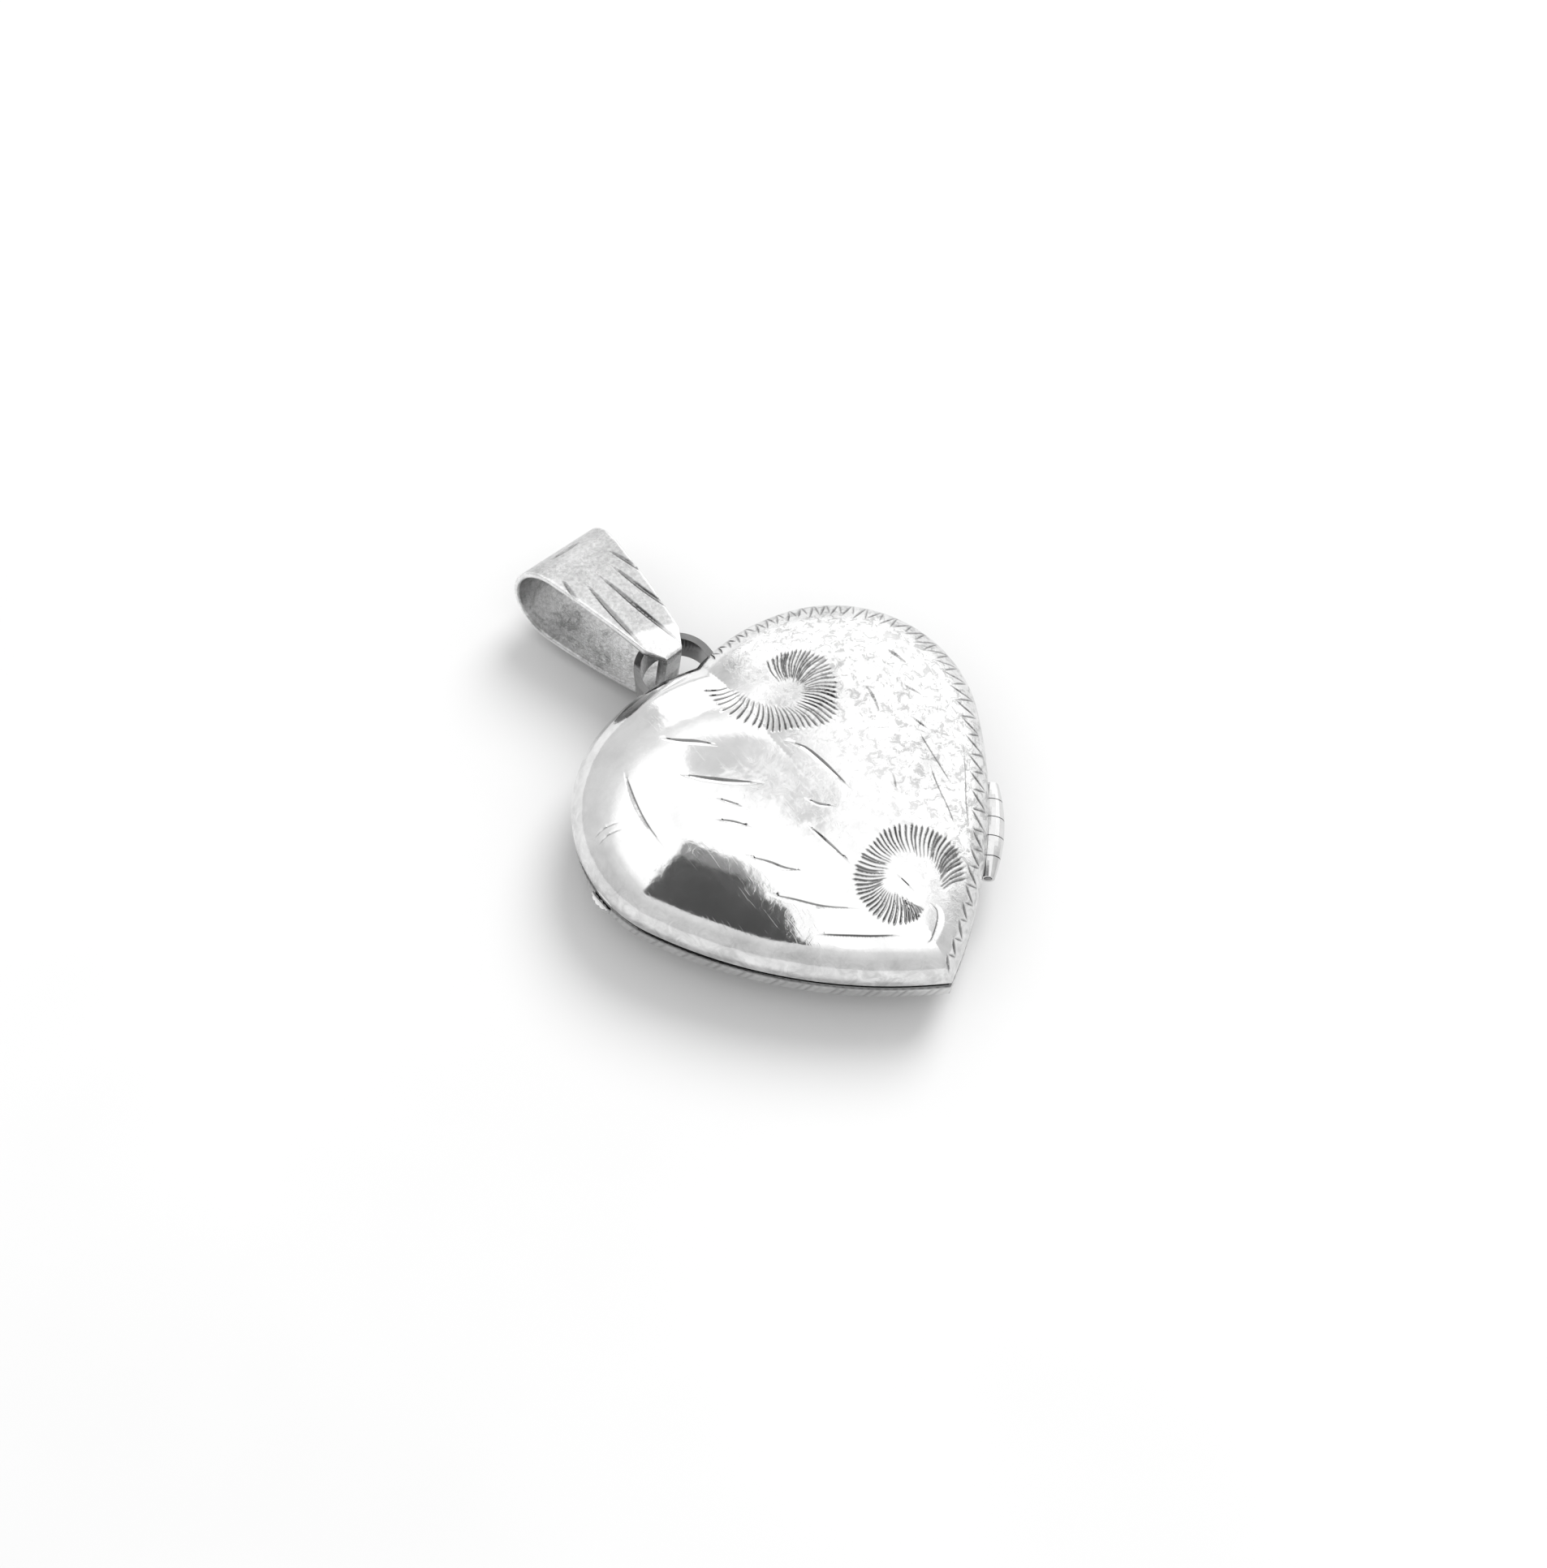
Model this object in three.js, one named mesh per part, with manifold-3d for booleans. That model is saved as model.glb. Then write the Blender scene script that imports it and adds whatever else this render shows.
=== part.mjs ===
// Heart-shaped hinged locket with a tapered bail, lying on its back.
// Millimetres. +Z points out of the front cover, +Y from the heart's tip to its bail and
// +X to the heart's right. The origin is the middle of the small flat on the back.
import * as THREE from 'three';
import { mergeVertices } from 'three/addons/utils/BufferGeometryUtils.js';
import Module from 'manifold-3d';

const wasm = await Module();
wasm.setup();

// Heart outline: three tangent arcs each side of x = 0, notch to lobe to side.
const LOBE = { x: 3.25, y: 2.0, r: 6.75 };
const NOTCH_ARC_EXTRA_RADIUS = 2.25;
const NOTCH_ARC_ANGLE = THREE.MathUtils.degToRad(72);
const SIDE_CENTRE = { x: -11.7, y: 9.5 };
const ARC_STEPS = { notch: 8, lobe: 16, side: 12 };

// Sheet-metal halves.
const SHEET = 0.4;
const BACK_RIM_Z = 2.74;
const FRONT_RIM_Z = 3.0;
const BACK_WALL = 0.67;
const FRONT_WALL = 0.47;
const BACK_DEPTH = 2.79;
const FRONT_HEIGHT = 3.37;
const DOME_REACH = 6.75;
const DOME_FULLNESS = 2.0;
const RING_SCALES = [0.987, 0.96, 0.92, 0.86, 0.77, 0.63, 0.45, 0.25];

// Inner rims and the frames that hold the pictures.
const SEAT_GAP = 0.03;
const BEZEL_THICKNESS = 0.3;
const BACK_BEZEL_Z = [2.26, 3.24];
const FRONT_BEZEL_Z = [3.32, 3.65];
const FRAME_WIDTH = 0.7;
const BACK_FRAME_Z = [2.3, 2.62];
const FRONT_FRAME_Z = [3.34, 3.66];

// Hinge on the lower right side: a barrel that is fuller in the middle.
const HINGE_ANGLE = THREE.MathUtils.degToRad(-41);
const HINGE_OUTSET = 0.12;
const HINGE_Z = (BACK_RIM_Z + FRONT_RIM_Z) / 2;
const HINGE_LENGTH = 4.8;
const BARREL_RADIUS = 0.66;
const BARREL_TAPER = 0.36;
const KNUCKLE_GAP = 0.04;
const HINGE_CLEARANCE = 0.03;
const BORE_RADIUS = 0.19;
const PIN_RADIUS = 0.165;
const PIN_END = 0.04;
const ROUND_STEPS = 20;

// Thumb catch on the left side.
const CATCH_ANGLE = THREE.MathUtils.degToRad(182);
const CATCH_HALF_ANGLE = THREE.MathUtils.degToRad(5);
const CATCH_Z = [2.3, 2.7];
const CATCH_REACH = 0.22;
const CATCH_LIP = 0.04;
const CATCH_GROOVES = 4;
const CATCH_GROOVE_DEPTH = 0.05;
const NAIL_NICK = { angle: THREE.MathUtils.degToRad(173), size: [0.5, 1.9, 0.5] };

// Strap loop soldered in the notch, a little left of the middle.
const LOOP_X = -0.6;
const LOOP_OUTER_RADIUS = 1.95;
const LOOP_THICKNESS = 0.32;
const LOOP_END_Y = 11.2;
const LOOP_Z = [1.85, 3.45];
const LOOP_COVER_GAP = 0.09;
const LOOP_ROOT_DEPTH = 1.2;
const LOOP_ARC_STEPS = 14;

// Bail: a folded strip that widens from its joined ends to its fold.
const BAIL_END = { x: -0.62, y: 9.5, z: 2.65 };
const BAIL_TILT = { roll: THREE.MathUtils.degToRad(10), yaw: THREE.MathUtils.degToRad(7.5) };
const BAIL_LENGTH = 8.6;
const BAIL_FOLD_RADIUS = 2.2;
const BAIL_END_HALF_DEPTH = 1.5;
const BAIL_SHEET = 0.3;
const BAIL_HALF_WIDTHS = { end: 0.48, shoulder: 1.12, fold: 2.48 };
const BAIL_SHOULDER = 0.95;
const BAIL_END_WALL = 0.36;
const BAIL_SIDE_BEND = 0.45;
const BAIL_EDGE_BEND = { along: 0.6, width: 0.78 };
const BAIL_FOLD_STEPS = 12;
const BAIL_EDGE_STEPS = 6;
const TRIM_MARGIN = 0.5;

const silver = (name, color, roughness) =>
  new THREE.MeshStandardMaterial({ name, color, roughness, metalness: 1.0 });

const polished = silver('polished_silver', 0xe4e4e2, 0.12);
const satin = silver('satin_silver', 0xd0d0cd, 0.3);
const dull = silver('dull_silver', 0xa9a8a5, 0.45);

// ---------------------------------------------------------------- solids and meshes

function toSolid(geometry) {
  const bare = geometry.clone();
  bare.deleteAttribute('normal');
  bare.deleteAttribute('uv');
  const merged = mergeVertices(bare, 1e-5);
  return new wasm.Manifold(new wasm.Mesh({
    numProp: 3,
    vertProperties: new Float32Array(merged.attributes.position.array),
    triVerts: new Uint32Array(merged.index.array),
  }));
}

function toGeometry(solid) {
  const mesh = solid.getMesh();
  const geometry = new THREE.BufferGeometry();
  geometry.setAttribute('position', new THREE.BufferAttribute(mesh.vertProperties, 3));
  geometry.setIndex(new THREE.BufferAttribute(mesh.triVerts, 1));
  geometry.computeVertexNormals();
  return geometry;
}

const cut = (geometry, ...cutters) =>
  toGeometry(cutters.reduce((solid, cutter) => solid.subtract(toSolid(cutter)), toSolid(geometry)));

function part(name, geometry, material) {
  const mesh = new THREE.Mesh(geometry, material.clone());
  mesh.name = name;
  return mesh;
}

// ---------------------------------------------------------------- heart outline

const distanceFrom = (arc, x, y) => Math.hypot(x - arc.x, y - arc.y);
const angleFrom = (arc, x, y) => Math.atan2(y - arc.y, x - arc.x);

const NOTCH_ARC = {
  x: LOBE.x - NOTCH_ARC_EXTRA_RADIUS * Math.cos(NOTCH_ARC_ANGLE),
  y: LOBE.y - NOTCH_ARC_EXTRA_RADIUS * Math.sin(NOTCH_ARC_ANGLE),
  r: LOBE.r + NOTCH_ARC_EXTRA_RADIUS,
};
const SIDE_ARC = { ...SIDE_CENTRE, r: distanceFrom(LOBE, SIDE_CENTRE.x, SIDE_CENTRE.y) + LOBE.r };
const SIDE_ARC_ANGLE = angleFrom(SIDE_ARC, LOBE.x, LOBE.y);

function arcPoints(arc, inset, from, to, steps) {
  const radius = arc.r - inset;
  return Array.from({ length: steps }, (_, i) => {
    const angle = THREE.MathUtils.lerp(from, to, i / steps);
    return new THREE.Vector2(arc.x + radius * Math.cos(angle), arc.y + radius * Math.sin(angle));
  });
}

// The outline, moved inwards by inset, anticlockwise from the tip.
function heartOutline(inset) {
  const notchAngle = Math.acos(-NOTCH_ARC.x / (NOTCH_ARC.r - inset));
  const tipAngle = -Math.acos(-SIDE_ARC.x / (SIDE_ARC.r - inset));
  const right = [
    ...arcPoints(SIDE_ARC, inset, tipAngle, SIDE_ARC_ANGLE, ARC_STEPS.side),
    ...arcPoints(LOBE, inset, SIDE_ARC_ANGLE, NOTCH_ARC_ANGLE, ARC_STEPS.lobe),
    ...arcPoints(NOTCH_ARC, inset, NOTCH_ARC_ANGLE, notchAngle, ARC_STEPS.notch),
  ];
  const notch = new THREE.Vector2(0, NOTCH_ARC.y + (NOTCH_ARC.r - inset) * Math.sin(notchAngle));
  const left = right.slice(1).reverse().map((p) => new THREE.Vector2(-p.x, p.y));
  right[0].x = 0;
  return [...right, notch, ...left];
}

// How far inside the outline a point lies.
function insetAt(x, y) {
  const side = Math.abs(x);
  const angle = angleFrom(LOBE, side, y);
  if (angle >= SIDE_ARC_ANGLE && angle <= NOTCH_ARC_ANGLE) {
    return LOBE.r - distanceFrom(LOBE, side, y);
  }
  const fromSide = SIDE_ARC.r - distanceFrom(SIDE_ARC, side, y);
  const fromNotch = NOTCH_ARC.r - distanceFrom(NOTCH_ARC, side, y);
  return y > NOTCH_ARC.y ? Math.min(fromSide, fromNotch) : fromSide;
}

function heartPrism(inset, [bottom, top], holeInset) {
  const shape = new THREE.Shape(heartOutline(inset));
  if (holeInset) shape.holes.push(new THREE.Path(heartOutline(holeInset)));
  const geometry = new THREE.ExtrudeGeometry(shape, { depth: top - bottom, bevelEnabled: false });
  return geometry.translate(0, 0, bottom);
}

// ---------------------------------------------------------------- domed halves

function domeRise(inset, reach) {
  const level = 1 - THREE.MathUtils.clamp(inset / reach, 0, 1);
  return (1 - level ** DOME_FULLNESS) ** (1 / DOME_FULLNESS);
}

// Rings of points from the rim to the crown, on the outer or the inner face of a half.
function domeRings({ rimZ, direction, wall, height, flatZ }, offset) {
  const rim = heartOutline(offset);
  const rise = height - wall - offset;
  const zAt = (x, y) => {
    const lift = wall + rise * domeRise(insetAt(x, y) - offset, DOME_REACH - offset);
    const z = rimZ + direction * lift;
    return flatZ === undefined || offset > 0 ? z : Math.max(z, flatZ);
  };
  const atRim = rim.map((p) => new THREE.Vector3(p.x, p.y, rimZ));
  const aboveRim = rim.map((p) => new THREE.Vector3(p.x, p.y, rimZ + direction * wall));
  const inner = RING_SCALES.map((scale) =>
    rim.map((p) => new THREE.Vector3(p.x * scale, p.y * scale, zAt(p.x * scale, p.y * scale))));
  return { rings: [atRim, aboveRim, ...inner], crown: new THREE.Vector3(0, 0, zAt(0, 0)) };
}

function domedHalf(half) {
  const vertices = [];
  const triangles = [];
  const addPoint = (p) => vertices.push(p.x, p.y, p.z) / 3 - 1;
  const addFace = (a, b, c) => triangles.push(...(half.direction > 0 ? [a, b, c] : [a, c, b]));

  const surfaces = [0, SHEET].map((offset) => {
    const { rings, crown } = domeRings(half, offset);
    return { rings: rings.map((ring) => ring.map(addPoint)), crown: addPoint(crown) };
  });
  const count = surfaces[0].rings[0].length;
  const [outer, inner] = surfaces;
  const bridge = (low, high, face) => {
    for (let i = 0; i < count; i += 1) {
      const next = (i + 1) % count;
      face(low[i], low[next], high[next]);
      face(low[i], high[next], high[i]);
    }
  };
  const reversed = (a, b, c) => addFace(a, c, b);
  for (const [surface, face] of [[outer, addFace], [inner, reversed]]) {
    for (let k = 0; k + 1 < surface.rings.length; k += 1) {
      bridge(surface.rings[k], surface.rings[k + 1], face);
    }
    const last = surface.rings.at(-1);
    last.forEach((a, i) => face(a, last[(i + 1) % count], surface.crown));
  }
  bridge(outer.rings[0], inner.rings[0], reversed);

  const geometry = new THREE.BufferGeometry();
  geometry.setAttribute('position', new THREE.Float32BufferAttribute(vertices, 3));
  geometry.setIndex(triangles);
  return geometry;
}

// ---------------------------------------------------------------- hinge

const barrelRadius = (s) => BARREL_RADIUS - BARREL_TAPER * (s / (HINGE_LENGTH / 2)) ** 2;

// Turns a profile about the hinge axis and lays it along the rim.
function onHingeAxis(profile) {
  const geometry = new THREE.LatheGeometry(profile, ROUND_STEPS);
  const along = new THREE.Vector3(-Math.sin(HINGE_ANGLE), Math.cos(HINGE_ANGLE), 0);
  geometry.applyQuaternion(new THREE.Quaternion().setFromUnitVectors(THREE.Object3D.DEFAULT_UP, along));
  const reach = SIDE_ARC.r + HINGE_OUTSET;
  return geometry.translate(
    SIDE_ARC.x + reach * Math.cos(HINGE_ANGLE),
    SIDE_ARC.y + reach * Math.sin(HINGE_ANGLE),
    HINGE_Z,
  );
}

function barrelProfile(from, to, swell, steps) {
  return Array.from({ length: steps + 1 }, (_, i) => {
    const s = THREE.MathUtils.lerp(from, to, i / steps);
    return new THREE.Vector2(barrelRadius(s) + swell, s);
  });
}

function knuckle(index, count) {
  const pitch = HINGE_LENGTH / count;
  const from = -HINGE_LENGTH / 2 + index * pitch + KNUCKLE_GAP / 2;
  const to = from + pitch - KNUCKLE_GAP;
  const start = new THREE.Vector2(BORE_RADIUS, from);
  return onHingeAxis([
    start,
    ...barrelProfile(from, to, 0, 4),
    new THREE.Vector2(BORE_RADIUS, to),
    start.clone(),
  ]);
}

function hingeCutter() {
  const end = HINGE_LENGTH / 2 + HINGE_CLEARANCE;
  return onHingeAxis([
    new THREE.Vector2(0, -end),
    ...barrelProfile(-end, end, HINGE_CLEARANCE, 12),
    new THREE.Vector2(0, end),
  ]);
}

function hingePin() {
  const end = HINGE_LENGTH / 2 + PIN_END;
  return onHingeAxis([
    new THREE.Vector2(0, -end),
    new THREE.Vector2(PIN_RADIUS, -end + PIN_END),
    new THREE.Vector2(PIN_RADIUS, end - PIN_END),
    new THREE.Vector2(0, end),
  ]);
}

// ---------------------------------------------------------------- catch

// A small ledge that follows the left lobe, with grooves across its edge.
function thumbCatch() {
  const inner = LOBE.r + SEAT_GAP;
  const at = (radius, angle) => new THREE.Vector2(radius * Math.cos(angle), radius * Math.sin(angle));
  const steps = CATCH_GROOVES * 4;
  const edge = Array.from({ length: steps + 1 }, (_, i) => {
    const t = i / steps;
    const swell = CATCH_REACH * Math.sin(Math.PI * t) ** 0.5;
    const groove = i % 4 === 2 ? CATCH_GROOVE_DEPTH : 0;
    const angle = CATCH_ANGLE + CATCH_HALF_ANGLE * (2 * t - 1);
    return at(inner + CATCH_LIP + swell - groove, angle);
  });
  const wall = edge.map((_, i) => at(inner, CATCH_ANGLE + CATCH_HALF_ANGLE * (1 - 2 * i / steps)));
  const shape = new THREE.Shape([...edge, ...wall]);
  const depth = CATCH_Z[1] - CATCH_Z[0];
  const geometry = new THREE.ExtrudeGeometry(shape, { depth, bevelEnabled: false });
  return geometry.translate(-LOBE.x, LOBE.y, CATCH_Z[0]);
}

// Shallow nick in the front rim where a fingernail opens the cover.
function nailNick() {
  const geometry = new THREE.BoxGeometry(...NAIL_NICK.size);
  geometry.translate(LOBE.r, 0, FRONT_RIM_Z).rotateZ(NAIL_NICK.angle);
  return geometry.translate(-LOBE.x, LOBE.y, 0);
}

// ---------------------------------------------------------------- loop and bail

function strapLoop() {
  const centreY = LOOP_END_Y - LOOP_OUTER_RADIUS;
  const rootY = NOTCH_ARC.y + NOTCH_ARC.r - LOOP_ROOT_DEPTH;
  const strap = (radius) => {
    const arc = new THREE.Shape();
    arc.moveTo(LOOP_X + radius, rootY);
    arc.lineTo(LOOP_X + radius, centreY);
    arc.absarc(LOOP_X, centreY, radius, 0, Math.PI, false);
    arc.lineTo(LOOP_X - radius, rootY);
    return arc.extractPoints(LOOP_ARC_STEPS).shape;
  };
  const inner = strap(LOOP_OUTER_RADIUS - LOOP_THICKNESS).reverse();
  const shape = new THREE.Shape([...strap(LOOP_OUTER_RADIUS), ...inner]);
  const extrude = { depth: LOOP_Z[1] - LOOP_Z[0], bevelEnabled: false };
  const geometry = new THREE.ExtrudeGeometry(shape, extrude).translate(0, 0, LOOP_Z[0]);
  const backHalf = heartPrism(-SEAT_GAP, [0, BACK_RIM_Z + SEAT_GAP]);
  const coverSpace = heartPrism(-LOOP_COVER_GAP, [BACK_RIM_Z, LOOP_Z[1] + 1]);
  return cut(geometry, backHalf, coverSpace);
}

// Side view of the strip: u runs from the joined ends to the fold, v through the depth.
function bailSide(path, thickness) {
  const radius = BAIL_FOLD_RADIUS - thickness;
  const end = thickness > 0 ? BAIL_END_WALL : 0;
  const halfDepth = BAIL_END_HALF_DEPTH - thickness;
  const foldCentre = BAIL_LENGTH - BAIL_FOLD_RADIUS;
  path.moveTo(end, -halfDepth);
  path.quadraticCurveTo(foldCentre * BAIL_SIDE_BEND, -radius, foldCentre, -radius);
  path.absarc(foldCentre, 0, radius, -Math.PI / 2, Math.PI / 2, false);
  path.quadraticCurveTo(foldCentre * BAIL_SIDE_BEND, radius, end, halfDepth);
  path.closePath();
  return path;
}

// Top view of the strip, used to trim its edges.
function bailPlan() {
  const { end, shoulder, fold } = BAIL_HALF_WIDTHS;
  const beyond = BAIL_LENGTH + TRIM_MARGIN;
  const bendAt = BAIL_LENGTH * BAIL_EDGE_BEND.along;
  const bendWidth = fold * BAIL_EDGE_BEND.width;
  const plan = new THREE.Shape();
  plan.moveTo(-end, -TRIM_MARGIN);
  plan.lineTo(end, -TRIM_MARGIN);
  plan.lineTo(end, 0);
  plan.lineTo(shoulder, BAIL_SHOULDER);
  plan.quadraticCurveTo(bendWidth, bendAt, fold, beyond);
  plan.lineTo(-fold, beyond);
  plan.quadraticCurveTo(-bendWidth, bendAt, -shoulder, BAIL_SHOULDER);
  plan.lineTo(-end, 0);
  return plan;
}

function bailStrip() {
  const side = bailSide(new THREE.Shape(), 0);
  side.holes.push(bailSide(new THREE.Path(), BAIL_SHEET));
  const width = 2 * (BAIL_HALF_WIDTHS.fold + TRIM_MARGIN);
  const height = 2 * (BAIL_FOLD_RADIUS + TRIM_MARGIN);
  const extrude = (shape, depth, curveSegments) => {
    const geometry = new THREE.ExtrudeGeometry(shape, { depth, curveSegments, bevelEnabled: false });
    return geometry.translate(0, 0, -depth / 2);
  };
  const strip = extrude(side, width, BAIL_FOLD_STEPS);
  const acrossToX = new THREE.Matrix4().makeBasis(
    new THREE.Vector3(0, 1, 0), new THREE.Vector3(0, 0, 1), new THREE.Vector3(1, 0, 0));
  strip.applyMatrix4(acrossToX);
  const plan = extrude(bailPlan(), height, BAIL_EDGE_STEPS);
  return toGeometry(toSolid(strip).intersect(toSolid(plan)));
}

// ---------------------------------------------------------------- assembly

const backHalf = { rimZ: BACK_RIM_Z, direction: -1, wall: BACK_WALL, height: BACK_DEPTH, flatZ: 0 };
const frontHalf = { rimZ: FRONT_RIM_Z, direction: 1, wall: FRONT_WALL, height: FRONT_HEIGHT };
const bezelInset = SHEET + SEAT_GAP;
const frameInset = bezelInset + BEZEL_THICKNESS + SEAT_GAP;

const back = new THREE.Group();
back.add(
  part('back_shell', cut(domedHalf(backHalf), hingeCutter()), polished),
  part('back_bezel', cut(heartPrism(bezelInset, BACK_BEZEL_Z, bezelInset + BEZEL_THICKNESS),
    hingeCutter()), satin),
  part('back_picture_frame', heartPrism(frameInset, BACK_FRAME_Z, frameInset + FRAME_WIDTH), satin),
  part('thumb_catch', thumbCatch(), polished),
  part('bail_loop', strapLoop(), dull),
  part('hinge_pin', hingePin(), dull),
);

const cover = new THREE.Group();
cover.add(
  part('front_shell', cut(domedHalf(frontHalf), hingeCutter(), nailNick()), polished),
  part('front_bezel', heartPrism(bezelInset + SEAT_GAP, FRONT_BEZEL_Z,
    bezelInset + BEZEL_THICKNESS), satin),
  part('front_picture_frame', heartPrism(frameInset, FRONT_FRAME_Z, frameInset + FRAME_WIDTH), satin),
);

const knuckleNames = ['back_knuckle_lower', 'front_knuckle_lower', 'back_knuckle_middle',
  'front_knuckle_upper', 'back_knuckle_upper'];
knuckleNames.forEach((name, i) => {
  const owner = name.startsWith('back') ? back : cover;
  owner.add(part(name, knuckle(i, knuckleNames.length), polished));
});

const bail = new THREE.Group();
bail.add(part('bail', bailStrip(), satin));
bail.position.set(BAIL_END.x, BAIL_END.y, BAIL_END.z);
bail.rotation.set(0, BAIL_TILT.roll, BAIL_TILT.yaw, 'ZYX');

const group = new THREE.Group();
group.add(back, cover, bail);
group.updateMatrixWorld(true);

export default group;
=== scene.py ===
import math

import bpy
import numpy as np
from mathutils import Matrix, Vector
from mathutils.geometry import delaunay_2d_cdt


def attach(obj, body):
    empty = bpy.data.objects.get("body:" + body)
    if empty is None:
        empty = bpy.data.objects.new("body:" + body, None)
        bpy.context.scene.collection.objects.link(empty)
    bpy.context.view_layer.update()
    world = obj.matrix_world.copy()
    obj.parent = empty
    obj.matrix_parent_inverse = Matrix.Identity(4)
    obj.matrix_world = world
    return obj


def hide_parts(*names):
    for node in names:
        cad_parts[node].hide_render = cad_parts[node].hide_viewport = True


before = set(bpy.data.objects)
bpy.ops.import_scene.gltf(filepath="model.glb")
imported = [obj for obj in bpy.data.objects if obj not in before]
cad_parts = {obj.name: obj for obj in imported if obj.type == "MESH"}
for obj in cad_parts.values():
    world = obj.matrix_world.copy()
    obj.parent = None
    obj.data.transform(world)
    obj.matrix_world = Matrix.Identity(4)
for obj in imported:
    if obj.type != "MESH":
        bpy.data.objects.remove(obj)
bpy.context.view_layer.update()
MM = 0.001
rng = np.random.default_rng(11)

# ------------------------------------------------------------------ heart outline (mm, CAD frame)

# Each half of the outline is three arcs, round the centres SIDE, LOBE and NOTCH.
LOBE, LOBE_R = np.array([3.25, 2.0]), 6.75
NOTCH_ANGLE = math.radians(72)
NOTCH_STEP = 2.25
NOTCH = LOBE - NOTCH_STEP * np.array([math.cos(NOTCH_ANGLE), math.sin(NOTCH_ANGLE)])
NOTCH_R = LOBE_R + NOTCH_STEP
SIDE = np.array([-11.7, 9.5])
SIDE_R = float(np.hypot(*(LOBE - SIDE))) + LOBE_R
SIDE_ANGLE = math.atan2(*(LOBE - SIDE)[::-1])
DOME_REACH, FULLNESS = 6.75, 2.0  # the dome rises over this width inside the rim, with this roundness
SHEET = 0.4  # thickness of the metal
BAND = 0.1  # inset at which the rim band hands over to the triangulated crown

# rim is the height of a half's edge, wall and rise those of its wall and dome, flat that of the flat it
# rests on, and milled the depth of the strokes on its wall.
FRONT = dict(rim=3.0, sign=1, wall=0.47, rise=2.9, flat=None, milled=0.0)
BACK = dict(rim=2.74, sign=-1, wall=0.67, rise=2.12, flat=0.0, milled=0.045)


def inset_at(x, y):
    """How far inside the outline (x, y) lies."""
    side = np.abs(x)
    angle = np.arctan2(y - LOBE[1], side - LOBE[0])
    from_lobe = LOBE_R - np.hypot(side - LOBE[0], y - LOBE[1])
    from_side = SIDE_R - np.hypot(side - SIDE[0], y - SIDE[1])
    from_notch = NOTCH_R - np.hypot(side - NOTCH[0], y - NOTCH[1])
    other = np.where(y > NOTCH[1], np.minimum(from_side, from_notch), from_side)
    return np.where((angle >= SIDE_ANGLE) & (angle <= NOTCH_ANGLE), from_lobe, other)


def outline(inset, right, left):
    """Heart outline moved inwards by inset, anticlockwise from the tip; right and left are point counts of
    the side, lobe and notch arcs. Returns points (n, 2)."""
    notch_angle = math.acos(-NOTCH[0] / (NOTCH_R - inset))
    tip_angle = -math.acos(-SIDE[0] / (SIDE_R - inset))
    spans = (
        (SIDE, SIDE_R, tip_angle, SIDE_ANGLE),
        (LOBE, LOBE_R, SIDE_ANGLE, NOTCH_ANGLE),
        (NOTCH, NOTCH_R, NOTCH_ANGLE, notch_angle),
    )

    def half(counts):
        parts = []
        for (centre, radius, start, stop), count in zip(spans, counts):
            a = start + (stop - start) * np.arange(count) / count
            parts.append(centre + (radius - inset) * np.stack([np.cos(a), np.sin(a)], 1))
        return np.concatenate(parts)

    top = NOTCH[1] + (NOTCH_R - inset) * math.sin(notch_angle)
    one, two = half(right), half(left)
    one[0, 0] = 0
    mirrored = two[1:][::-1] * [-1, 1]
    return np.concatenate([one, [[0, top]], mirrored])


def rise(d, reach=DOME_REACH):
    """Share of the dome's rise that is reached d inside the rim."""
    level = 1 - np.clip(d / reach, 0, 1)
    return (1 - level**FULLNESS) ** (1 / FULLNESS)


def unrise(r):
    """The inset at which rise gives r."""
    return DOME_REACH * (1 - (1 - np.clip(r, 0, 1) ** FULLNESS) ** (1 / FULLNESS))


def dome_z(half, x, y):
    """Height of the half's outer face."""
    z = half["rim"] + half["sign"] * (half["wall"] + half["rise"] * rise(inset_at(x, y)))
    return z if half["flat"] is None else np.maximum(z, half["flat"])


def dome_normal(half, x, y):
    """Outward normals of the dome at (x, y)."""
    h = 2e-3
    gx = (dome_z(half, x + h, y) - dome_z(half, x - h, y)) / (2 * h)
    gy = (dome_z(half, x, y + h) - dome_z(half, x, y - h)) / (2 * h)
    n = np.stack([-gx, -gy, np.ones_like(gx)], 1) * half["sign"]
    return n / np.linalg.norm(n, axis=1)[:, None]


# ------------------------------------------------------------------ hinge and nail nick clearances

HINGE_A = math.radians(-41)
HINGE_OUT = np.array([math.cos(HINGE_A), math.sin(HINGE_A)])
HINGE_ALONG = np.array([-HINGE_OUT[1], HINGE_OUT[0]])
HINGE_OFFSET = 0.12  # the hinge axis lies this far outside the rim
HINGE_XY = SIDE + (SIDE_R + HINGE_OFFSET) * HINGE_OUT
HINGE_Z, HINGE_HALF = 2.87, 2.4  # height of the axis and half the barrel's length
BARREL, TAPER, CLEAR = 0.66, 0.36, 0.035  # its radius, how much its ends taper and the room round it
NICK_A, NICK_HALF, NICK_RISE, NICK_REACH = math.radians(173), 0.95, 0.25, 0.25


def hinge_room(xy):
    """Half height of the barrel's clearance over each point, measured from the hinge axis."""
    rel = xy - HINGE_XY
    s, off = rel @ HINGE_ALONG, rel @ HINGE_OUT
    radius = BARREL - TAPER * (s / HINGE_HALF) ** 2 + CLEAR
    room = np.sqrt(np.maximum(radius**2 - off**2, 0))
    return np.where(np.abs(s) <= HINGE_HALF + CLEAR, room, 0)


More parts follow.
